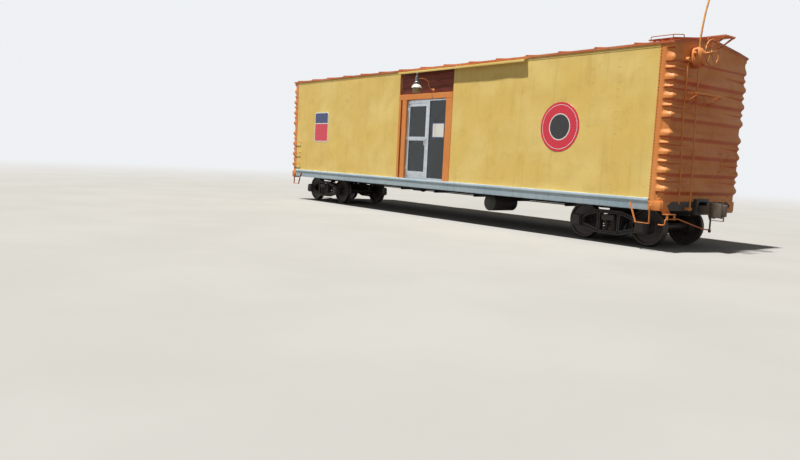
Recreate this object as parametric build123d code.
from build123d import *
import os
from math import cos, radians, sin, sqrt

# Steel boxcar on two four-wheel trucks, with a walk-in doorway in one side.
# All sizes in millimetres. X runs along the car towards its hand brake, -Y is the side with the
# walk-in door, Z is up from the lowest point of the wheel flanges.

# Body
body_length = 15600
body_width = 2970
wall = 88
end_wall = 90
sill_bottom = 859
sill_top = 1111
eave = 4293
roof_rise = 190
roof_thickness = 50
roof_overhang = 22
floor_thickness = 57
side_web = 14
ledge_depth = 25
ledge_height = 62
corner_strip = 300
corner_radius = 38
end_bottom = 1060

# Centre sill
sill_gap = 330
sill_web = 16
sill_flange = 70
sill_height = 315

# Corrugated ends
rib_pitch = 382
rib_count = 7
lap_row = 3
rib_height = 226
rib_depth = 70
lowest_rib = 1320
rib_taper = 210
rib_margin = 62
dart_length = 900
dart_height = 120
dart_depth = 42
top_rib_height = 210
top_rib_depth = 34
top_rib_bottom = 3925
top_rib_inset = 40

# Roof
seam_pitch = 1030
seam_count = 15
first_seam = 6890
seam_width = 52
seam_height = 30
board_width = 400
board_thickness = 25
board_gap = 5
board_end_reach = 370
board_brace_y = 150
board_brace_width = 30
board_brace_foot = 4330
board_bar = (60, 20)
cross_board = 600
cross_board_inset = 50
cross_board_edge = 60
cross_board_lift = 40
cross_board_thickness = 20
plank_gap = 10
roof_reach = 12
cap_bevel = 14
saddle_width = 44
carrier_width = 60
carrier_inset = 40
carrier_margin = 70
roof_grip_side = 30
roof_grip_end = 25
roof_grip_length = 545
roof_grip_return = 345
roof_grip_rise = 110
roof_grip_radius = 9
roof_grip_lift = 1.5

# Walk-in doorway
door_centre = -80
door_opening = 2438
left_post = 370
right_post = 270
header_bottom = 3440
header_height = 160
header_face = 12
board_recess = 40
frame_face = 45
frame_depth = 45
frame_tube = 50
leaf_width = 890
leaf_height = 2180
leaf_thickness = 44
leaf_gap = 5
leaf_stile = 66
leaf_top_rail = 80
leaf_mid_rail = 110
leaf_bottom_rail = 190
leaf_mid_height = 2300
glass_thickness = 6
threshold_height = 28
mullion = 90
pull_length = 220
pull_reach = 55
pull_radius = 11
hinge_offset = 15
hinge_shares = (0.1, 0.5, 0.9)
knuckle_radius = 10
knuckle_length = 48
wing_thickness = 8
frame_wing = 34
leaf_wing = 38

# Lamp above the walk-in doorway
lamp_x = 230
lamp_reach = 620
lamp_foot_height = 3680
lamp_foot_radius = 55
lamp_arm_radius = 13
lamp_arm_bend = 60
shade_bottom = 3745
shade_radius = 150
shade_neck = 56
shade_height = 155
lamp_hood_height = 100
lamp_cap = 110
jar_radius = 90
jar_height = 160

# Door hood above each doorway
hood_reach = 130
hood_lip = 62
hood_thickness = 14
hood_slope = 26
hood_drop = 10
hood_overlap = 40
hood_run = 5100

# Freight door of the other side
slide_door_width = 2560
rail_top = 1075
slide_door_bottom = 1120
slide_door_top = 4160
slide_door_thickness = 46
slide_door_gap = 30
door_rib_count = 9
door_rib_depth = 26
door_rib_height = 150
track_clearance = 25
track_thickness = 14
track_lip = 40
track_overrun = 30
track_back = 34
top_track_drop = 60
lintel_drop = 40
door_travel = 2440
roller_radius = 30
roller_inset = 330
roller_width = 28
door_rib_inset = 90
door_rib_margin = 120
door_handle_height = 1900
door_handle_length = 250
door_handle_inset = 60
door_handle_reach = 20
door_handle_radius = 8

# Underframe and draft gear
truck_centre = 6223
bolster_width = 300
bolster_arm_rise = 150
bearing_reach = 635
bearing_drop = 55
bearing_gap = 8
bearing_width = 100
bearing_length = 150
centre_plate_length = 460
crossbearer_places = [900, 2600, 4300]
crossbearer_width = 120
crossbearer_drop = 130
crossbearer_arm = 250
crossbearer_end = 95
sill_foot = 95
draft_length = 620
coupler_height = 901
coupler_out = 600
coupler_length = 1150
head_length = 320
head_height = 300
knuckle_height = 250
knuckle_pin_radius = 24
knuckle_pin_length = 350
lock_drop = 30
shank_width = 130
shank_depth = 150
striker_depth = 80
striker_opening = 340
striker_rim = 80
striker_drop = 50
striker_rise = 60
striker_radius = 14
gusset_bottom = 808
gusset_inner = 360
gusset_outer = 75
gusset_root = 380
gusset_notch = (200, 975)
gusset_thickness = 18
seat_clearance = 0.3

# Hand brake, above the coupler of the +X end
brake_y = -760
brake_z = 4062
brake_case_width = 330
brake_case_height = 430
brake_case_reach = 190
brake_case_edge = 45
brake_wheel_y = -700
brake_wheel_z = 4150
brake_wheel_reach = 390
brake_wheel_radius = 280
brake_rim_radius = 14
brake_spoke_radius = 11
brake_spokes = 5
brake_hub_radius = 42
brake_hub_length = 52
brake_rod_y = (-690, -560)
brake_rod_radius = 17
brake_pipe_radius = 14
brake_rod_reach = 40
brake_rod_bottom = 905
brake_eye_radius = 36
brake_pipe_y = -1065
brake_pipe_top = 3990
brake_pipe_bottom = 1010
valve_radius = 55
brake_step_height = 3292
brake_step_ends = (-1050, 0)
brake_step_reach = (70, 240)
brake_step_thickness = 28
brace_width = 40
brace_inset = 90
brace_drop = 170
pole_height = 1010
pole_reach = 110
pole_y = -720
pole_lean = 195
pole_radius = 20
pole_bend = 700

# Handholds, steps and uncoupling levers
grip_radius = 10
grip_reach = 58
grip_bend = 30
end_grip_places = (510, 1180)
end_grip_low = 1725
end_grip_length = 410
side_grip_heights = (1330, 1730, 2130)
side_grip_inset = 140
side_grip_length = 460
step_bar = 14
step_width = 45
step_bottom = 575
step_top = 1000
step_length = 345
step_slope = 165
lever_y = -1470
lever_reach = 120
lever_radius = 13
lever_height = 700
lever_low = 470
lever_straight = 1000
lever_handle = (150, 575)
lever_bend = 45
lever_bracket = (-1400, -1140)
lever_bracket_width = 40
lever_bracket_plate = 22

# Trucks
wheelbase = 1727
wheel_radius = 419
flange_radius = 444.5
back_to_back = 1353
rim_width = 140
rim_radius = 360
hub_radius = 146
hub_overhang = 22
axle_seat = 88
axle_body = 82
journal_outreach = 301.5
journal_radius = 70
journal_clearance = 0.08
journal_box = 118
box_reach = (100, 117)
box_wall = 30
lid_reach = 44
frame_thickness = 150
frame_recess = 46
frame_rim = 27
frame_top = 745
frame_bottom = 205
frame_column = 74
frame_chord = 83
frame_tie = 99
spring_seat = 275
spring_height = 245
spring_radius = 78
spring_coil = 16
spring_spacing = 104
spring_turns = 5
bowl_radius = 178
bowl_rim = 38
bowl_floor = 679
bowl_base = 655
centre_plate_lift = 26
bolster_belly = 430
bolster_end_height = 120
bolster_end_reach = 105
truck_bolster_width = 330
gib_width = 50
gib_gap = 20
shoe_gap = 6
shoe_thickness = 42
shoe_height = 210
beam_bottom = 420
beam_depth = 50
beam_width = 48
beam_trim = 3
shelf_width = 57

# Air brake
tank_radius = 215
tank_length = 980
tank_height = 640
tank_inset = 150
hanger_width = 50
hanger_thickness = 14
brake_cylinder_radius = 130
brake_cylinder_length = 550
brake_cylinder_height = 830
brake_cylinder_x = -1475
rigging_drop = 30
rigging_y = -60
rigging_radius = 14

half_length = body_length / 2
half_width = body_width / 2
inside_half = half_width - wall
wall_base = sill_top
floor_top = sill_top
floor_bottom = floor_top - floor_thickness
centre_sill_bottom = floor_bottom - sill_height
strip_start = half_length - corner_strip
end_inner = half_length - end_wall
side_inner = half_width - side_web
sill_side = sill_gap / 2 + sill_web
sill_edge = sill_side + sill_flange
axle_height = flange_radius
rib_crest = half_length + rib_depth
coupler_reach = half_length + coupler_out
coupler_pivot = coupler_reach - coupler_length
journal_y = back_to_back / 2 + journal_outreach


def under_roof(y):
    """Height of the roof sheet's underside at a distance from the centreline."""
    return eave + roof_rise * (1 - abs(y) / half_width)


def prism(points, along, start, end):
    """Straight solid of an outline given in the two other axes, in X, Y, Z order."""
    if along == "x":
        corners = [(start, a, b) for a, b in points]
        way = (1, 0, 0)
    elif along == "y":
        corners = [(a, start, b) for a, b in points]
        way = (0, 1, 0)
    else:
        corners = [(a, b, start) for a, b in points]
        way = (0, 0, 1)
    return extrude(make_face(Polyline(*corners, close=True)), amount=end - start, dir=way)


def block(x, y, z):
    """Box between pairs of coordinates."""
    middle = [(low + high) / 2 for low, high in (x, y, z)]
    size = [high - low for low, high in (x, y, z)]
    return Pos(*middle) * Box(*size)


def rod(start, end, radius):
    """Round bar between two points."""
    run = Vector(*end) - Vector(*start)
    return extrude(Plane(origin=start, z_dir=run) * Circle(radius), amount=run.length)


def bent_bar(points, radius, bend):
    """Round bar along straight runs joined by arcs."""
    path = FilletPolyline(*points, radius=bend)
    return sweep(Plane(origin=path @ 0, z_dir=path % 0) * Circle(radius), path=path)


def turned(outline, place, axis):
    """Solid of revolution of an outline of (radius, height) points."""
    face = make_face(Polyline(*[(r, 0, h) for r, h in outline], close=True))
    return Plane(origin=place, z_dir=axis) * revolve(face, axis=Axis.Z)


def join(pieces):
    """All pieces as one shape; those that touch are fused."""
    return Part() + list(pieces)


def half_turn(shape):
    """The same shape at the car's other end and other side."""
    return Rot(0, 0, 180) * shape


def both_sides(shape):
    """A shape and its mirror image across the car's centreline."""
    return [shape, mirror(shape, about=Plane.XZ)]


def both_ends(shape):
    """A shape and its copy turned to the other end."""
    return [shape, half_turn(shape)]


# Underframe


def center_sill():
    """Hat section of two flanged webs under a cover plate, with the draft gear stops."""
    gap, outer, foot = sill_gap / 2, sill_side, sill_edge
    low, high = centre_sill_bottom, floor_bottom
    outline = [
        (-foot, low), (-gap, low), (-gap, high - sill_web), (gap, high - sill_web),
        (gap, low), (foot, low), (foot, low + sill_web), (outer, low + sill_web),
        (outer, high), (-outer, high), (-outer, low + sill_web), (-foot, low + sill_web),
    ]
    beam = prism(outline, "x", -end_inner, end_inner)
    draft_front = coupler_pivot - shank_width / 2 - seat_clearance
    draft = block(
        (draft_front - draft_length, draft_front), (-gap, gap),
        (coupler_height - shank_depth * 0.7, high - sill_web),
    )
    return join([beam, *both_ends(draft)])


def body_bolsters():
    low = centre_sill_bottom + sill_web
    arm_knee = bearing_reach + bearing_width
    arm = prism(
        [
            (sill_side, low), (arm_knee, low), (side_inner, low + bolster_arm_rise),
            (side_inner, floor_bottom), (sill_side, floor_bottom),
        ],
        "x", truck_centre - bolster_width / 2, truck_centre + bolster_width / 2,
    )
    bearing = block(
        (truck_centre - bearing_length / 2, truck_centre + bearing_length / 2),
        (bearing_reach - bearing_width / 2, bearing_reach + bearing_width / 2),
        (low - bearing_drop, low),
    )
    plate = block(
        (truck_centre - centre_plate_length / 2, truck_centre + centre_plate_length / 2),
        (-sill_edge, sill_edge), (bowl_floor + centre_plate_lift, centre_sill_bottom),
    )
    pivot = Pos(truck_centre, 0, bowl_floor) * Cylinder(
        bowl_radius, centre_plate_lift, align=(Align.CENTER, Align.CENTER, Align.MIN)
    )
    one_end = [*both_sides(arm + bearing), plate + pivot]
    return join([half for piece in one_end for half in both_ends(piece)])


def crossbearers():
    low = centre_sill_bottom + crossbearer_drop
    beams = []
    for place in crossbearer_places:
        for x in (-place, place):
            arm = prism(
                [
                    (sill_side, low), (sill_side + crossbearer_arm, low),
                    (side_inner, floor_bottom - crossbearer_end),
                    (side_inner, floor_bottom), (sill_side, floor_bottom),
                ],
                "x", x - crossbearer_width / 2, x + crossbearer_width / 2,
            )
            beams += both_sides(arm)
    return join(beams)


def floor():
    outline = [
        (strip_start, side_inner), (strip_start, inside_half), (end_inner, inside_half),
        (end_inner, -inside_half), (strip_start, -inside_half), (strip_start, -side_inner),
    ]
    outline += [(-x, -y) for x, y in outline]
    return prism(outline, "z", floor_bottom, floor_top)


def side_sill(sign):
    outline = [
        (half_width, sill_bottom), (half_width, sill_top - ledge_height),
        (half_width + ledge_depth, sill_top - ledge_height), (half_width + ledge_depth, sill_top),
        (side_inner, sill_top), (side_inner, sill_bottom + side_web),
        (side_inner - sill_foot, sill_bottom + side_web), (side_inner - sill_foot, sill_bottom),
    ]
    return prism([(sign * y, z) for y, z in outline], "x", -strip_start, strip_start)


def end_sills():
    beam = block((end_inner, half_length), (-inside_half, inside_half), (sill_bottom, end_bottom))
    mouth = block((end_inner, half_length), (-sill_side, sill_side), (sill_bottom, end_bottom))
    return join(both_ends(beam - mouth))


def corner_castings():
    """Corner blocks of the underframe, each with a gusset plate on the end that runs to a low tip."""
    side = block((strip_start, half_length), (inside_half, half_width), (sill_bottom, end_bottom))
    corner = side.edges().filter_by(Axis.Z).sort_by(lambda edge: edge.center().X + edge.center().Y)
    side = fillet(corner[-1], corner_radius)
    outer = half_width - corner_radius
    notch, notch_height = gusset_notch
    gusset = prism(
        [
            (outer, end_bottom), (outer, sill_bottom), (half_width - gusset_outer, gusset_bottom),
            (half_width - gusset_inner, gusset_bottom), (half_width - notch, notch_height),
            (half_width - gusset_root, end_bottom),
        ],
        "x", half_length, half_length + gusset_thickness,
    )
    corner = side + gusset
    return join([half for piece in both_sides(corner) for half in both_ends(piece)])


def strikers():
    """Castings round the couplers' mouths, which carry the shanks."""
    x = (half_length, half_length + striker_depth)
    half = striker_opening / 2
    low = coupler_height - shank_depth / 2
    casting = block(x, (-half - striker_rim, half + striker_rim),
                    (low - striker_drop, end_bottom + striker_rise))
    mouth = block(x, (-half, half), (low, end_bottom))
    return join(both_ends(fillet((casting - mouth).edges().filter_by(Axis.X), striker_radius)))


# Body shell


def wall_panel(x, sign):
    y = sorted((sign * inside_half, sign * half_width))
    return block(x, y, (wall_base, eave))


def bulge(width, height, depth, skew=0.0):
    """Rounded rib lying on the YZ plane at X 0, its ends tapering down to the sheet.

    The side outline is a low arc; the plan outline runs out over rib_taper at both ends, or over
    the whole width towards -Y where skew is set.
    """
    section = make_face(
        [
            ThreePointArc((0, 0, -height / 2), (depth, 0, 0), (0, 0, height / 2)).edge(),
            Line((0, 0, height / 2), (0, 0, -height / 2)).edge(),
        ]
    )
    ridge = extrude(section, amount=width, dir=(0, 1, 0))
    if skew:
        plan = [(0, 0), (depth, width - rib_taper / 3), (depth, width - rib_taper / 4), (0, width)]
    else:
        plan = [(0, 0), (depth, rib_taper), (depth, width - rib_taper), (0, width)]
    return ridge & prism(plan, "z", -height, height)


def end_panel():
    """Pressed end at +X that wraps round the corners; its two sheets lap above the row lap_row."""
    half = half_width
    outer = [
        (strip_start, -half), (half_length, -half), (half_length, half), (strip_start, half),
        (strip_start, inside_half), (end_inner, inside_half), (end_inner, -inside_half),
        (strip_start, -inside_half),
    ]
    shell = prism(outer, "z", end_bottom, eave)
    corners = shell.edges().filter_by(Axis.Z).group_by(Axis.X)[-1]
    shell = fillet(corners, corner_radius)
    gable = prism(
        [(-half + corner_radius, eave), (half - corner_radius, eave), (0, under_roof(0))],
        "x", end_inner, half_length,
    )
    rib_width = body_width - 2 * rib_margin
    rib = Pos(half_length, -rib_width / 2, 0) * bulge(rib_width, rib_height, rib_depth)
    dart = Pos(half_length, rib_width / 2 - dart_length, 0) * bulge(
        dart_length, dart_height, dart_depth, skew=1.0
    )
    pieces = [shell, gable]
    for row in range(rib_count):
        z = lowest_rib + row * rib_pitch
        pieces.append(Pos(0, 0, z) * rib)
        if row != lap_row:
            pieces += both_sides(Pos(0, 0, z + rib_pitch / 2) * dart)
    z = top_rib_bottom + top_rib_height / 2
    top = prism(
        [
            (half_length, z - top_rib_height / 2), (half_length + top_rib_depth, z - top_rib_height / 3),
            (half_length + top_rib_depth, z + top_rib_height / 3), (half_length, z + top_rib_height / 2),
        ],
        "y", -rib_width / 2 + top_rib_inset, rib_width / 2 - top_rib_inset,
    )
    return join([*pieces, top])


def roof():
    edge = half_width + roof_overhang
    reach = half_length + roof_reach
    outline = [
        (-edge, under_roof(edge)), (0, under_roof(0)), (edge, under_roof(edge)),
        (edge, under_roof(edge) + roof_thickness), (0, under_roof(0) + roof_thickness),
        (-edge, under_roof(edge) + roof_thickness),
    ]
    return prism(outline, "x", -reach, reach)


def roof_top(y):
    return under_roof(y) + roof_thickness


def seam_places():
    return [first_seam - seam_pitch * index for index in range(seam_count)]


def roof_seam_caps():
    edge = half_width + roof_overhang
    outline = [
        (-edge, roof_top(edge)), (0, roof_top(0)), (edge, roof_top(edge)),
        (edge - cap_bevel, roof_top(edge) + seam_height), (0, roof_top(0) + seam_height),
        (-edge + cap_bevel, roof_top(edge) + seam_height),
    ]
    cap = prism(outline, "x", -seam_width / 2, seam_width / 2)
    return join([Pos(x, 0, 0) * cap for x in seam_places()])


board_bottom = under_roof(0) + roof_thickness + seam_height + board_gap
cross_start = half_length - cross_board_inset - cross_board
cross_plank = cross_board / 3


def on_roof(y_low, y_high, low, high):
    """Outline of a layer on one slope of the roof sheet, between two heights above it."""
    return [
        (y_low, roof_top(y_low) + low), (y_high, roof_top(y_high) + low),
        (y_high, roof_top(y_high) + high), (y_low, roof_top(y_low) + high),
    ]


def running_board():
    """Three long planks on the ridge and three short ones down the slope near each end."""
    z = (board_bottom, board_bottom + board_thickness)
    reach = half_length + board_end_reach
    plank, trim = board_width / 3, plank_gap / 2
    planks = []
    for index in (-1, 0, 1):
        y = ((index - 0.5) * plank + trim, (index + 0.5) * plank - trim)
        planks.append(block((-reach, reach), y, z))
    outline = on_roof(-half_width + cross_board_edge, -board_width / 2, cross_board_lift,
                      cross_board_lift + cross_board_thickness)
    for index in range(3):
        start = cross_start + index * cross_plank + trim
        planks += both_ends(prism(outline, "x", start, start + cross_plank - plank_gap))
    return join(planks)


def roof_saddles():
    """Blocks that carry the walkway on the roof, and the braced bars under its overhanging ends."""
    reach = board_width / 2
    top = seam_height

    def saddle(y_low, y_high, lift):
        points = [(y_low, roof_top(y_low) + lift), (y_high, roof_top(y_high) + lift)]
        if y_low < 0 < y_high:
            points.insert(1, (0, roof_top(0) + lift))
        return points + [(y_high, board_bottom), (y_low, board_bottom)]

    half = saddle_width / 2
    blocks = [prism(saddle(-reach, reach, top), "x", x - half, x + half) for x in seam_places()]
    for y in (-half_width + cross_board_edge + carrier_margin, -board_width / 2 - carrier_margin):
        foot = on_roof(y - carrier_width / 2, y + carrier_width / 2, 0, cross_board_lift)
        for index in range(3):
            x = cross_start + (index + 0.5) * cross_plank
            blocks += both_ends(prism(foot, "x", x - half, x + half))
    end_carrier = prism(saddle(-reach, reach, 0), "x", half_length - carrier_inset, half_length)
    tip = half_length + board_end_reach
    bar_start, bar_end = tip - board_bar[0], tip - board_bar[1]
    depth = bar_end - bar_start
    low = board_bottom - depth / 2
    overhang = [block((bar_start, bar_end), (-reach, reach), (low, board_bottom))]
    for y in (-board_brace_y, board_brace_y):
        brace = [
            (half_length, board_brace_foot), (half_length, board_brace_foot + depth / 2),
            (bar_start, board_bottom), (bar_end, low),
        ]
        overhang.append(prism(brace, "y", y - board_brace_width / 2, y + board_brace_width / 2))
    blocks += both_ends(end_carrier) + both_ends(join(overhang))
    return join(blocks)


def roof_grab_irons():
    """Bars bent round the outer corners of the cross boards, each with three feet on the roof."""
    x, y = half_length - roof_grip_end, -half_width + roof_grip_side
    back, inner = x - roof_grip_length, y + roof_grip_return
    low, high = roof_top(y), roof_top(inner)
    bar = bent_bar(
        [
            (back, y, low + roof_grip_lift), (back, y, low + roof_grip_rise),
            (x, y, low + roof_grip_rise), (x, inner, high + roof_grip_rise),
            (x, inner, high + roof_grip_lift),
        ],
        roof_grip_radius, grip_bend,
    )
    post_x = x - grip_bend
    post = rod((post_x, y, low + roof_grip_lift), (post_x, y, low + roof_grip_rise), roof_grip_radius)
    return join(both_ends(bar + post))


# Walk-in doorway

door_left = door_centre - door_opening / 2
door_right = door_centre + door_opening / 2
entry_left = door_left + left_post
entry_right = door_right - right_post
frame_outer = -half_width + frame_face
frame_inner = frame_outer + frame_depth


def door_frame_near():
    y = (-half_width, -half_width + wall)
    left = block((door_left, entry_left), y, (wall_base, header_bottom))
    right = block((entry_right, door_right), y, (wall_base, header_bottom))
    header = block((door_left, door_right), (-half_width - header_face, -half_width + wall),
                   (header_bottom, header_bottom + header_height))
    return join([left, right, header])


def door_board_near():
    y = (-half_width + board_recess, -half_width + wall)
    return block((door_left, door_right), y, (header_bottom + header_height, eave))


def door_hood():
    """Angle under the eave that shelters the door rail, on the -Y side."""
    y, top = -half_width, eave - hood_drop
    lip, lip_top = y - hood_reach, top - hood_slope
    outline = [
        (y, top), (lip, lip_top), (lip, lip_top - hood_lip), (lip + hood_thickness, lip_top - hood_lip),
        (lip + hood_thickness, lip_top - hood_thickness), (y, top - hood_thickness),
    ]
    start = door_left + hood_overlap
    return prism(outline, "x", start, start + hood_run)


leaf_left = entry_left + frame_tube
leaf_right = leaf_left + leaf_width
leaf_bottom = wall_base + threshold_height + leaf_gap
leaf_top = leaf_bottom + leaf_height
mullion_left = leaf_right + leaf_gap
sidelite_left = mullion_left + mullion
leaf_front = frame_outer + 4


hinge_x = leaf_left - leaf_gap / 2
hinge_y = leaf_front - hinge_offset


def hinge_half(reach, face, lift):
    """Knuckles of the three butt hinges with their wings, on the frame or on the leaf."""
    halves = []
    for share in hinge_shares:
        z = leaf_bottom + share * leaf_height + lift
        knuckle = rod((hinge_x, hinge_y, z), (hinge_x, hinge_y, z + knuckle_length), knuckle_radius)
        wing = block(sorted((hinge_x, hinge_x + reach)), (face - wing_thickness, face),
                     (z, z + knuckle_length))
        halves.append(knuckle + wing)
    return halves


def storefront_frame():
    y = (frame_outer, frame_inner)
    whole = block((entry_left, entry_right), y, (wall_base, header_bottom))
    doorway = block((leaf_left - leaf_gap, mullion_left), y,
                    (wall_base + threshold_height, leaf_top + leaf_gap))
    sidelite = block((sidelite_left, entry_right - frame_tube), y,
                     (wall_base + frame_tube, header_bottom - frame_tube))
    return join([whole - doorway - sidelite, *hinge_half(-frame_wing, frame_outer, 0)])


def sidelite_glass():
    middle = (frame_outer + frame_inner) / 2
    return block(
        (sidelite_left, entry_right - frame_tube),
        (middle - glass_thickness / 2, middle + glass_thickness / 2),
        (wall_base + frame_tube, header_bottom - frame_tube),
    )


def leaf_lights():
    """Heights of the leaf's lower and upper glass."""
    lower = (leaf_bottom + leaf_bottom_rail, leaf_mid_height - leaf_mid_rail / 2)
    upper = (leaf_mid_height + leaf_mid_rail / 2, leaf_top - leaf_top_rail)
    return lower, upper


def entry_door():
    y = (leaf_front, leaf_front + leaf_thickness)
    leaf = block((leaf_left, leaf_right), y, (leaf_bottom, leaf_top))
    for z in leaf_lights():
        leaf -= block((leaf_left + leaf_stile, leaf_right - leaf_stile), y, z)
    pull_x = leaf_right - leaf_stile / 2
    high = leaf_mid_height + leaf_mid_rail / 4
    low = high - pull_length
    pull = bent_bar(
        [
            (pull_x, leaf_front, low), (pull_x, leaf_front - pull_reach, low),
            (pull_x, leaf_front - pull_reach, high), (pull_x, leaf_front, high),
        ],
        pull_radius, 2 * pull_radius,
    )
    return join([leaf, pull, *hinge_half(leaf_wing, leaf_front, knuckle_length)])


def entry_glass():
    middle = leaf_front + leaf_thickness / 2
    y = (middle - glass_thickness / 2, middle + glass_thickness / 2)
    return join([block((leaf_left + leaf_stile, leaf_right - leaf_stile), y, z) for z in leaf_lights()])


lamp_wall = -half_width + board_recess
lamp_y = lamp_wall - lamp_reach
jar_top = shade_bottom - lamp_cap / 2.5
hood_base = shade_bottom + shade_height
lamp_arm_height = hood_base + lamp_hood_height / 4


def lamp_fixture():
    """Gooseneck barn lamp on the board above the door."""
    foot = rod((lamp_x, lamp_wall, lamp_foot_height), (lamp_x, lamp_wall - lamp_arm_radius,
               lamp_foot_height), lamp_foot_radius)
    arm = bent_bar(
        [
            (lamp_x, lamp_wall, lamp_foot_height), (lamp_x, lamp_wall - 2 * lamp_arm_bend, lamp_foot_height),
            (lamp_x, lamp_wall - 3 * lamp_arm_bend, lamp_arm_height - lamp_arm_radius),
            (lamp_x, lamp_y + shade_neck / 2, lamp_arm_height),
        ],
        lamp_arm_radius, lamp_arm_bend,
    )
    hood_top = hood_base + lamp_hood_height
    collar = jar_radius + 5
    head = turned(
        [
            (0, jar_top), (collar, jar_top), (collar, shade_bottom), (shade_radius, shade_bottom + 8),
            (shade_radius, shade_bottom + 24), (shade_radius * 0.8, shade_bottom + shade_height * 0.55),
            (shade_neck + 10, shade_bottom + shade_height * 0.75), (shade_neck, hood_base),
            (shade_neck, hood_top - 10), (shade_neck / 2, hood_top + 10),
            (shade_neck / 2, hood_top + lamp_cap / 2), (shade_neck / 4, hood_top + lamp_cap * 0.6),
            (shade_neck / 4, hood_top + lamp_cap * 0.85), (0, hood_top + lamp_cap),
        ],
        (lamp_x, lamp_y, 0), (0, 0, 1),
    )
    return foot + arm + head


def lamp_jar():
    bottom = jar_top - jar_height
    return turned(
        [
            (0, bottom), (jar_radius * 0.67, bottom + jar_height * 0.03),
            (jar_radius * 0.93, bottom + jar_height * 0.16), (jar_radius, bottom + jar_height * 0.38),
            (jar_radius, jar_top), (0, jar_top),
        ],
        (lamp_x, lamp_y, 0), (0, 0, 1),
    )


# Freight doorway and sliding door of the +Y side

far_left = -door_right
far_right = -door_left
slide_inner = half_width + slide_door_gap
slide_outer = slide_inner + slide_door_thickness
track_outer = slide_outer + door_rib_depth + track_clearance
far_door_right = far_right + (slide_door_width - door_opening) / 2
far_door_left = far_door_right - slide_door_width


def freight_door_tracks():
    """Bottom rail with a lip, top hood and the lintel over the opening."""
    x = (far_door_left - door_travel - track_overrun, far_door_right + track_overrun)
    back, thick = half_width + ledge_depth, track_thickness
    plate = back + thick / 2
    rail = prism(
        [
            (back, rail_top + track_back), (back, rail_top - thick), (track_outer, rail_top - thick),
            (track_outer, rail_top + track_lip), (track_outer - thick, rail_top + track_lip),
            (track_outer - thick, rail_top), (plate, rail_top), (plate, rail_top + track_back),
        ],
        "x", *x,
    )
    lintel = block((far_left, far_right), (inside_half, half_width), (slide_door_top - lintel_drop, eave))
    top, low = eave - hood_drop, slide_door_top - top_track_drop
    lip_top = top - hood_slope * 0.8
    hood = prism(
        [
            (half_width, top), (track_outer + thick, lip_top), (track_outer + thick, low),
            (track_outer, low), (track_outer, lip_top - thick), (half_width, top - thick),
        ],
        "x", *x,
    )
    return join([rail, lintel, hood])


def freight_door():
    y = (slide_inner, slide_outer)
    x = (far_door_left, far_door_right)
    panel = block(x, y, (slide_door_bottom, slide_door_top))
    lowest = slide_door_bottom + door_rib_margin
    pitch = (slide_door_top - door_rib_margin - lowest) / (door_rib_count - 1)
    crest = slide_outer + door_rib_depth
    ribs = []
    for index in range(door_rib_count):
        z = lowest + index * pitch
        section = [
            (slide_outer, z - door_rib_height / 2), (crest, z - door_rib_height / 4),
            (crest, z + door_rib_height / 4), (slide_outer, z + door_rib_height / 2),
        ]
        ribs.append(prism(section, "x", x[0] + door_rib_inset, x[1] - door_rib_inset))
    rollers = []
    middle = (slide_inner + slide_outer) / 2
    roller_z = rail_top + seat_clearance + roller_radius
    for x_roller in (x[0] + roller_inset, x[1] - roller_inset):
        rollers.append(
            rod((x_roller, middle - roller_width / 2, roller_z),
                (x_roller, middle + roller_width / 2, roller_z), roller_radius)
        )
    grip_x, grip_y = x[1] - door_handle_inset, slide_outer + door_handle_reach
    low, high = door_handle_height, door_handle_height + door_handle_length
    handle = bent_bar(
        [
            (grip_x, slide_outer, low), (grip_x, grip_y, low),
            (grip_x, grip_y, high), (grip_x, slide_outer, high),
        ],
        door_handle_radius, door_handle_radius + 2,
    )
    return join([panel, *ribs, *rollers, handle])


# Hand brake and fittings of the ends

brake_wheel_x = half_length + brake_wheel_reach
brake_case_top = brake_z + brake_case_height / 2
brake_case_bottom = brake_z - brake_case_height / 2
brake_hub_start = brake_wheel_x - brake_hub_length * 0.6


def brake_housing():
    """Gear case of two lobes, the lower one for the chain drum and the upper for the wheel's shaft."""
    back, front = half_length + top_rib_depth, half_length + brake_case_reach
    wide, tall = brake_case_width / 2, brake_case_height / 2
    case = prism(
        [
            (brake_y - wide, brake_z - tall * 0.7), (brake_y - wide * 0.7, brake_case_bottom),
            (brake_y + wide * 0.7, brake_case_bottom), (brake_y + wide, brake_z - tall * 0.45),
            (brake_y + wide * 0.8, brake_z), (brake_y + wide, brake_z + tall * 0.3),
            (brake_y + wide * 0.9, brake_z + tall * 0.75), (brake_y + wide / 2, brake_case_top),
            (brake_y - wide * 0.65, brake_case_top), (brake_y - wide, brake_z + tall * 0.6),
        ],
        "x", back, front,
    )
    case = chamfer(case.faces().sort_by(Axis.X)[-1].edges(), brake_case_edge)
    drum_y, drum_z = brake_y - wide * 0.2, brake_z - tall * 0.45
    drum = rod((front, drum_y, drum_z), (front + brake_case_edge, drum_y, drum_z), wide * 0.45)
    nose = rod((front, brake_wheel_y, brake_wheel_z), (brake_hub_start, brake_wheel_y, brake_wheel_z),
               brake_hub_radius)
    return join([case, drum, nose])


def brake_wheel():
    """Wheel of dished spokes round a hub."""
    x, y, z = brake_wheel_x, brake_wheel_y, brake_wheel_z
    tip = brake_wheel_radius - brake_rim_radius
    root = brake_hub_radius * 0.7
    rim = Plane(origin=(x, y, z), z_dir=(1, 0, 0)) * Torus(tip, brake_rim_radius)
    hub = rod((brake_hub_start, y, z), (brake_hub_start + brake_hub_length, y, z), brake_hub_radius)
    spokes = []
    for index in range(brake_spokes):
        angle = radians(90 + 360 / brake_spokes * index)
        spokes.append(
            rod(
                (x - brake_hub_length / 4, y + root * cos(angle), z + root * sin(angle)),
                (x, y + tip * cos(angle), z + tip * sin(angle)), brake_spoke_radius,
            )
        )
    return join([rim, hub, *spokes])


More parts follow.
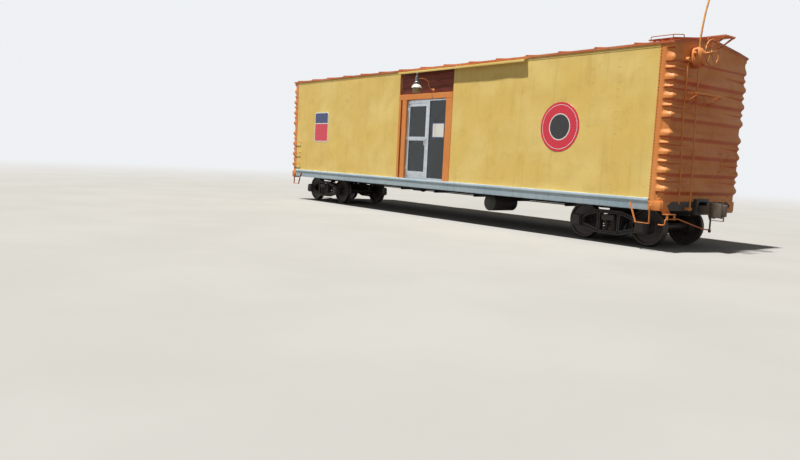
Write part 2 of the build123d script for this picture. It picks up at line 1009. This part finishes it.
def brake_rods():
    """Rod from the brake down to its eye and bell crank, and the retaining valve with its pipe."""
    x, z = rib_crest + brake_rod_reach, brake_rod_bottom
    top_y, y = brake_rod_y
    half = brake_eye_radius
    pull = bent_bar([(x, top_y, brake_case_bottom), (x, top_y, brake_case_bottom - 2 * half), (x, y, z)],
                    brake_rod_radius, 2 * brake_rod_radius)
    eye = rod((x, y - half, z), (x, y + half, z), half)
    crank = block((half_length, x), (y - half / 2, y + half / 2), (z - half / 2, z + half))
    pipe_x = rib_crest + brake_pipe_radius + 1 + seat_clearance
    pipe_y = brake_pipe_y
    drop = (brake_pipe_top - brake_pipe_bottom) / 5
    pipe = bent_bar(
        [
            (pipe_x, pipe_y, brake_pipe_top), (pipe_x, pipe_y, brake_pipe_top - drop),
            (pipe_x, pipe_y * 1.015, brake_pipe_top - 2 * drop),
            (pipe_x, pipe_y * 0.97, brake_pipe_top - 3 * drop),
            (pipe_x, pipe_y * 0.93, brake_pipe_top - 4 * drop), (pipe_x, pipe_y * 0.9, brake_pipe_bottom),
        ],
        brake_pipe_radius, 9 * brake_pipe_radius,
    )
    valve = rod((half_length + top_rib_depth, pipe_y, brake_pipe_top),
                (rib_crest + valve_radius, pipe_y, brake_pipe_top), valve_radius)
    return join([pull, eye, crank, pipe + valve])


def brake_step():
    """Plank on two braces and two straps back to the rib behind it."""
    z = brake_step_height
    back, front = [rib_crest + reach for reach in brake_step_reach]
    start, end = brake_step_ends
    pieces = [block((back, front), (start, end), (z, z + brake_step_thickness))]
    half, plate = brace_width / 2, brake_step_thickness / 3
    foot_z = z - brace_drop
    foot = end_face(foot_z, half) + seat_clearance
    strap = end_face(z, plate) + seat_clearance
    for y in (start + brace_inset, end - brace_inset):
        brace = [
            (foot, foot_z + half), (foot, foot_z - half), (front - half, z),
            (front - half - 1.2 * brace_width, z),
        ]
        pieces.append(prism(brace, "y", y - half, y + half))
        pieces.append(block((strap, back + half), (y - half, y + half), (z, z + plate)))
    return join(pieces)


def whip_pole():
    x, y, start = half_length + pole_reach, pole_y, brake_case_top
    points = [(x, y, start), (x, y, start + 0.2 * pole_height)]
    for share in (0.45, 0.7, 1.0):
        points.append((x, y + pole_lean * share**2, start + pole_height * share))
    return bent_bar(points, pole_radius, pole_bend)


def sill_steps():
    """Stirrups of flat bar under the side sill beside each corner."""
    y = (-half_width - step_width, -half_width)
    start, end, bar = strip_start - step_length - step_slope / 2, strip_start + step_slope / 2, step_bar
    outer = [
        (start, step_top), (start + step_slope, step_bottom), (end, step_bottom),
        (end - bar, step_top - 3 * bar),
    ]
    inner = [
        (start + bar, step_top), (start + step_slope + bar, step_bottom + bar),
        (end - bar, step_bottom + bar), (end - 2 * bar, step_top - 3 * bar),
    ]
    step = prism(outer + inner[::-1], "y", *y)
    return join([half for piece in both_sides(step) for half in both_ends(piece)])


def end_face(z, spread):
    """How far the ribbed end stands out within spread of a height."""
    curve = (rib_height**2 / 4 + rib_depth**2) / (2 * rib_depth)
    row = round((z - lowest_rib) / rib_pitch)
    off = max(0, abs(z - lowest_rib - row * rib_pitch) - spread)
    if off >= rib_height / 2:
        return half_length
    return half_length + rib_depth - curve + sqrt(curve**2 - off**2)


def handholds():
    bars = []
    x = rib_crest + grip_reach
    low, high = end_grip_low, end_grip_low + end_grip_length
    low_foot = end_face(low, grip_radius) + seat_clearance
    high_foot = end_face(high, grip_radius) + seat_clearance
    for y in end_grip_places:
        grip = bent_bar(
            [(low_foot, y, low), (x, y, low), (x, y, high), (high_foot, y, high)],
            grip_radius, grip_bend,
        )
        bars += both_ends(grip)
    start, y = -half_length + side_grip_inset, -half_width
    end, out = start + side_grip_length, y - grip_reach
    for z in side_grip_heights:
        grip = bent_bar(
            [(start, y, z), (start, out, z), (end, out, z), (end, y, z)], grip_radius, grip_bend
        )
        bars += both_ends(grip)
    return join(bars)


def uncoupling_levers():
    """Rod across each end, from its hooked handle at the corner to below the coupler's lock."""
    x, top, low = half_length + lever_reach, lever_height, lever_low
    hook, hook_z = lever_handle
    lever = bent_bar(
        [
            (x - hook, lever_y, hook_z), (x, lever_y, hook_z), (x, lever_y, top),
            (x, -lever_straight, top), (x, 0, low), (x + 1.5 * lever_reach, 0, low),
        ],
        lever_radius, lever_bend,
    )
    half = lever_bracket_width / 2
    start, end = lever_bracket
    reach = x + half
    pieces = [lever, block((half_length, reach), (start - half, end + half),
                           (gusset_bottom - lever_bracket_plate, gusset_bottom))]
    for y in lever_bracket:
        pieces.append(block((x - half, reach), (y - half / 2, y + half / 2),
                            (top - half, gusset_bottom)))
    return join(both_ends(join(pieces)))


# Couplers


def coupler():
    """Automatic coupler with its shank, guard arm and closed knuckle, at the +X end."""
    start = coupler_reach - head_length
    z = coupler_height
    shank = block((coupler_pivot, start + lock_drop), (-shank_width / 2, shank_width / 2),
                  (z - shank_depth / 2, z + shank_depth / 2))
    butt = Pos(coupler_pivot, 0, z) * Cylinder(shank_width / 2, shank_depth)
    head = prism(
        [
            (start, -65), (start + 60, -120), (start + 150, -175), (start + 300, -215),
            (start + 335, -205), (start + 335, -172), (start + 250, -120), (start + 190, -55),
            (start + 182, 20), (start + 182, 60), (start + 150, 150), (start + 60, 112), (start, 65),
        ],
        "z", z - head_height / 2, z + head_height / 2,
    )
    knuckle = prism(
        [
            (start + 150, 62), (start + 205, 45), (start + 238, 30), (start + 246, -28),
            (start + 290, -42), (start + head_length, -22), (start + head_length, 70),
            (start + 290, 132), (start + 235, 160), (start + 150, 150),
        ],
        "z", z - knuckle_height / 2, z + knuckle_height / 2,
    )
    pin = Pos(start + 190, 108, z) * Cylinder(knuckle_pin_radius, knuckle_pin_length)
    low = z - head_height / 2
    lock = block((start + 40, start + 100), (-lock_drop, lock_drop), (low - lock_drop, low))
    return join([shank, butt, head, knuckle, pin, lock])


# Trucks

box_inner = journal_y - box_reach[0]
box_outer = journal_y + box_reach[1]
frame_inner_y = journal_y - frame_thickness / 2
frame_outer_y = journal_y + frame_thickness / 2


def side_frame():
    """Cast truck side of I section, with its journal boxes and brake beam shelves."""
    axle, box = wheelbase / 2, journal_box
    top, bottom = frame_top, frame_bottom
    opening_half = spring_spacing + spring_radius + gib_width
    window_start = opening_half + frame_column
    shoulder = window_start + 1.25 * frame_rim
    box_top, box_low = axle_height + 1.23 * box, axle_height - 1.07 * box
    half_outline = [
        (0, top), (shoulder, top), (0.74 * axle, top - 1.12 * frame_chord),
        (axle - 0.85 * box, box_top + 0.1 * box), (axle + 1.03 * box, box_top),
        (axle + 1.03 * box, box_low), (axle - 0.78 * box, box_low), (shoulder, bottom), (0, bottom),
    ]
    outline = half_outline + [(-x, z) for x, z in half_outline[-2:0:-1]]
    side_window = [
        (window_start, top - frame_chord), (window_start, bottom + frame_tie),
        (0.8 * axle, box_low + frame_chord), (0.825 * axle, axle_height + 0.67 * frame_chord),
        (0.72 * axle, top - 2.05 * frame_chord), (shoulder, top - frame_chord),
    ]
    lintel = top - 0.93 * frame_chord
    opening = [
        (-opening_half, lintel), (opening_half, lintel),
        (opening_half, spring_seat), (-opening_half, spring_seat),
    ]
    face = make_face(Polyline(*[(x, 0, z) for x, z in outline], close=True))
    for hole in (side_window, [(-x, z) for x, z in side_window], opening):
        face -= make_face(Polyline(*[(x, 0, z) for x, z in hole], close=True))
    frame = Pos(0, frame_inner_y, 0) * extrude(face, amount=frame_thickness, dir=(0, 1, 0))
    pocket = offset(face, amount=-frame_rim)
    for y in (frame_inner_y, frame_outer_y - frame_recess):
        frame -= Pos(0, y, 0) * extrude(pocket, amount=frame_recess, dir=(0, 1, 0))
    boxes = []
    for sign in (-1, 1):
        x = sign * axle
        case = block((x - box, x + box), (box_inner, box_outer),
                     (axle_height - 1.18 * box, axle_height + 1.2 * box))
        lid = prism(
            [
                (box_outer, axle_height + 1.08 * box),
                (box_outer + 0.7 * lid_reach, axle_height + 0.95 * box),
                (box_outer + lid_reach, axle_height - 0.83 * box),
                (box_outer, axle_height - 1.05 * box),
            ],
            "x", x - 0.88 * box, x + 0.88 * box,
        )
        hinge_place = (box_outer + 0.36 * lid_reach, axle_height + 1.05 * box)
        hinge = rod((x - box / 2, *hinge_place), (x + box / 2, *hinge_place), 0.15 * box)
        shelf_x = sorted((sign * shelf_start, sign * (shelf_start + shelf_width)))
        shelf = block(shelf_x, (box_inner - 0.3 * frame_rim, frame_inner_y + frame_recess),
                      (spring_seat, beam_bottom))
        boxes += [case, lid, hinge, shelf]
    frame = join([frame, *boxes])
    for sign in (-1, 1):
        frame -= rod(
            (sign * axle, box_inner, axle_height), (sign * axle, box_outer - box_wall, axle_height),
            journal_radius + journal_clearance,
        )
    return frame


def truck_bolster():
    """Cast beam on the springs, with the centre bowl, side bearings and the gibs inside the frames."""
    end = journal_y + bolster_end_reach
    low = spring_seat + spring_height
    outline = [
        (0, bolster_belly), (end * 0.44, bolster_belly), (end * 0.73, low), (end, low),
        (end, low + bolster_end_height), (end * 0.55, bowl_base), (0, bowl_base),
    ]
    outline += [(-y, z) for y, z in outline[-2:0:-1]]
    half = truck_bolster_width / 2
    beam = prism(outline, "x", -half, half)
    bowl_height = bowl_floor - bowl_base + 18
    bowl = Cylinder(bowl_radius + bowl_rim, bowl_height, align=(Align.CENTER, Align.CENTER, Align.MIN))
    well = Cylinder(bowl_radius + seat_clearance, bowl_height, align=(Align.CENTER, Align.CENTER, Align.MIN))
    pieces = [beam, Pos(0, 0, bowl_base) * bowl]
    body_bearing = centre_sill_bottom + sill_web - bearing_drop
    gib_end = frame_inner_y - gib_gap
    pad = 0.6 * bearing_width
    for sign in (-1, 1):
        y = sorted((sign * (gib_end - gib_width), sign * gib_end))
        pieces.append(block((-half - gib_width, half + gib_width), y,
                            (low + 10, low + bolster_end_height - 10)))
        y = sorted((sign * (bearing_reach - pad), sign * (bearing_reach + pad)))
        pieces.append(block((-bearing_length * 0.6, bearing_length * 0.6), y,
                            (low + bolster_end_height - 10, body_bearing - bearing_gap)))
    return join(pieces) - Pos(0, 0, bowl_floor) * well


def spring_nests():
    """Coil springs under both bolster ends, as turned stacks of their turns."""
    rise = spring_height / spring_turns
    inner = spring_radius - spring_coil
    outline = [(0, 0), (inner, 0)]
    for turn in range(spring_turns):
        outline += [(spring_radius, (turn + 0.5) * rise), (inner, (turn + 1) * rise)]
    outline.append((0, spring_height))
    coils = []
    for x in (-spring_spacing, spring_spacing):
        for sign in (-1, 1):
            place = (x, sign * journal_y, spring_seat)
            coils.append(turned(outline, place, (0, 0, 1)))
    return join(coils)


shoe_radius = wheel_radius + shoe_gap
shoe_back = wheelbase / 2 - shoe_radius - shoe_thickness
beam_start = shoe_back - beam_width + beam_depth / 12
shelf_start = beam_start


def brake_beams():
    """Beam across the truck inside each wheelset, with a shoe at each wheel's tread."""
    axle, beam_end = wheelbase / 2, frame_inner_y - beam_trim
    beam = block((beam_start, beam_start + beam_width), (-beam_end, beam_end),
                 (beam_bottom, beam_bottom + beam_depth))
    pieces = [beam]
    for sign in (-1, 1):
        y = sorted(sign * (back_to_back / 2 + share * rim_width) for share in (0.32, 0.94))
        shoe = block((shoe_back, shoe_back + 3 * shoe_thickness), y,
                     (axle_height - shoe_height / 2, axle_height + shoe_height / 2))
        tread = rod((axle, y[0], axle_height), (axle, y[1], axle_height), shoe_radius)
        pieces.append(shoe - tread)
    one = join(pieces)
    return join([one, Rot(0, 0, 180) * one])


def wheels(x):
    """Two wheels on one axle, with flange, coned tread, dished plate and hub."""
    inner = back_to_back / 2
    outer = inner + rim_width
    outline = [
        (axle_seat, inner + 0.03 * rim_width), (0.97 * hub_radius, inner + 0.03 * rim_width),
        (1.05 * hub_radius, inner + 0.24 * rim_width), (0.96 * rim_radius, inner + 0.4 * rim_width),
        (rim_radius, inner), (0.97 * flange_radius, inner), (flange_radius, inner + 0.1 * rim_width),
        (1.03 * wheel_radius, inner + 0.19 * rim_width), (wheel_radius, inner + 0.27 * rim_width),
        (0.99 * wheel_radius, outer), (rim_radius, outer), (0.98 * rim_radius, outer - 0.3 * rim_width),
        (1.12 * hub_radius, inner + 0.47 * rim_width), (hub_radius, inner + 0.8 * rim_width),
        (hub_radius, outer + hub_overhang), (axle_seat, outer + hub_overhang),
    ]
    wheel = turned(outline, (x, 0, axle_height), (0, 1, 0))
    return join([wheel, mirror(wheel, about=Plane.XZ)])


def axle(x):
    """Axle with its wheel seats and journals."""
    seat_start = back_to_back / 2 - 16
    seat_end = back_to_back / 2 + rim_width + hub_overhang
    journal_end = box_outer - box_wall - 12
    collar = (axle_seat + journal_radius) / 2
    half = [
        (axle_body, 0), (axle_body, seat_start - 20), (axle_seat, seat_start), (axle_seat, seat_end),
        (collar, seat_end + 1), (collar, box_inner - 8), (journal_radius, box_inner - 6),
        (journal_radius, journal_end),
    ]
    outline = [(0, -journal_end)] + [(r, -y) for r, y in half[:0:-1]] + half + [(0, journal_end)]
    return turned(outline, (x, 0, axle_height), (0, 1, 0))


# Air brake under the floor


def air_brake_gear():
    """Air tank across the car on two straps, and the brake cylinder beside the centre sill."""
    x, z, radius = crossbearer_places[1], tank_height, tank_radius
    start = -half_width + tank_inset
    end = start + tank_length
    tank = turned(
        [
            (0, start), (radius * 0.56, start + radius * 0.05), (radius, start + radius / 3),
            (radius, end - radius / 3), (radius * 0.56, end - radius * 0.05), (0, end),
        ],
        (x, 0, z), (0, 1, 0),
    )
    pieces = [tank]
    near = crossbearer_width / 2
    for y in (start + tank_length / 5, end - tank_length / 4):
        for side in (-1, 1):
            plate = sorted((x + side * near, x + side * (near + hanger_thickness)))
            pieces.append(
                block(plate, (y, y + hanger_width), (z + radius * 0.72, floor_bottom - crossbearer_end / 2))
            )
    radius, length = brake_cylinder_radius, brake_cylinder_length
    start, y = brake_cylinder_x - length / 2, -sill_edge - 1.3 * brake_cylinder_radius
    cylinder = turned(
        [
            (0, 0), (radius * 0.46, 5), (radius, length * 0.1), (radius, length * 0.9),
            (radius * 1.15, length * 0.9), (radius * 1.15, length * 0.95), (radius * 0.46, length),
            (0, length),
        ],
        (start, y, brake_cylinder_height), (1, 0, 0),
    )
    bracket = block((brake_cylinder_x - radius, brake_cylinder_x + radius), (y, -sill_side),
                    (brake_cylinder_height + radius * 0.3, brake_cylinder_height + radius * 0.75))
    return join([*pieces, cylinder + bracket])


def brake_rigging():
    """Pull rod along the centre sill in hangers under its flanges."""
    z, half = centre_sill_bottom - rigging_drop, rigging_radius + 1
    reach = crossbearer_places[-1] + crossbearer_width
    pieces = [rod((-reach, rigging_y, z), (reach, rigging_y, z), rigging_radius)]
    for place in crossbearer_places:
        for x in (-place, place):
            pieces.append(
                block((x - half, x + half), (-sill_edge, sill_edge), (z - rigging_drop, centre_sill_bottom))
            )
    return join(pieces)


# Every sub-part by name

NODES = {
    "center_sill": center_sill(),
    "body_bolsters": body_bolsters(),
    "crossbearers": crossbearers(),
    "floor": floor(),
    "side_sill_near": side_sill(-1),
    "side_sill_far": side_sill(1),
    "end_sills": end_sills(),
    "corner_castings": corner_castings(),
    "strikers": strikers(),
    "side_near_left": wall_panel((-strip_start, door_left), -1),
    "side_near_right": wall_panel((door_right, strip_start), -1),
    "side_far_left": wall_panel((-strip_start, far_left), 1),
    "side_far_right": wall_panel((far_right, strip_start), 1),
    "end_b": end_panel(),
    "end_a": half_turn(end_panel()),
    "roof": roof(),
    "roof_seam_caps": roof_seam_caps(),
    "running_board": running_board(),
    "roof_saddles": roof_saddles(),
    "roof_grab_irons": roof_grab_irons(),
    "door_frame_near": door_frame_near(),
    "door_board_near": door_board_near(),
    "door_hood_near": door_hood(),
    "storefront_frame": storefront_frame(),
    "sidelite_glass": sidelite_glass(),
    "entry_door": entry_door(),
    "entry_glass": entry_glass(),
    "lamp_fixture": lamp_fixture(),
    "lamp_jar": lamp_jar(),
    "freight_door_tracks": freight_door_tracks(),
    "freight_door": freight_door(),
    "brake_housing": brake_housing(),
    "brake_wheel": brake_wheel(),
    "brake_rods": brake_rods(),
    "brake_step": brake_step(),
    "whip_pole": whip_pole(),
    "sill_steps": sill_steps(),
    "handholds": handholds(),
    "uncoupling_levers": uncoupling_levers(),
    "air_brake_gear": air_brake_gear(),
    "brake_rigging": brake_rigging(),
    "coupler_b": coupler(),
    "coupler_a": half_turn(coupler()),
}

frame = side_frame()
truck_parts = {
    "side_frames": join(both_sides(frame)),
    "truck_bolster": truck_bolster(),
    "springs": spring_nests(),
    "brake_beams": brake_beams(),
}
for truck, centre in (("b", truck_centre), ("a", -truck_centre)):
    for name, shape in truck_parts.items():
        NODES[f"{name}_{truck}"] = Pos(centre, 0, 0) * shape
    for index, x in ((1, centre - wheelbase / 2), (2, centre + wheelbase / 2)):
        NODES[f"wheels_{truck}{index}"] = wheels(x)
        NODES[f"axle_{truck}{index}"] = axle(x)

os.makedirs("parts", exist_ok=True)
for name, shape in NODES.items():
    export_step(shape, f"parts/{name}.step")
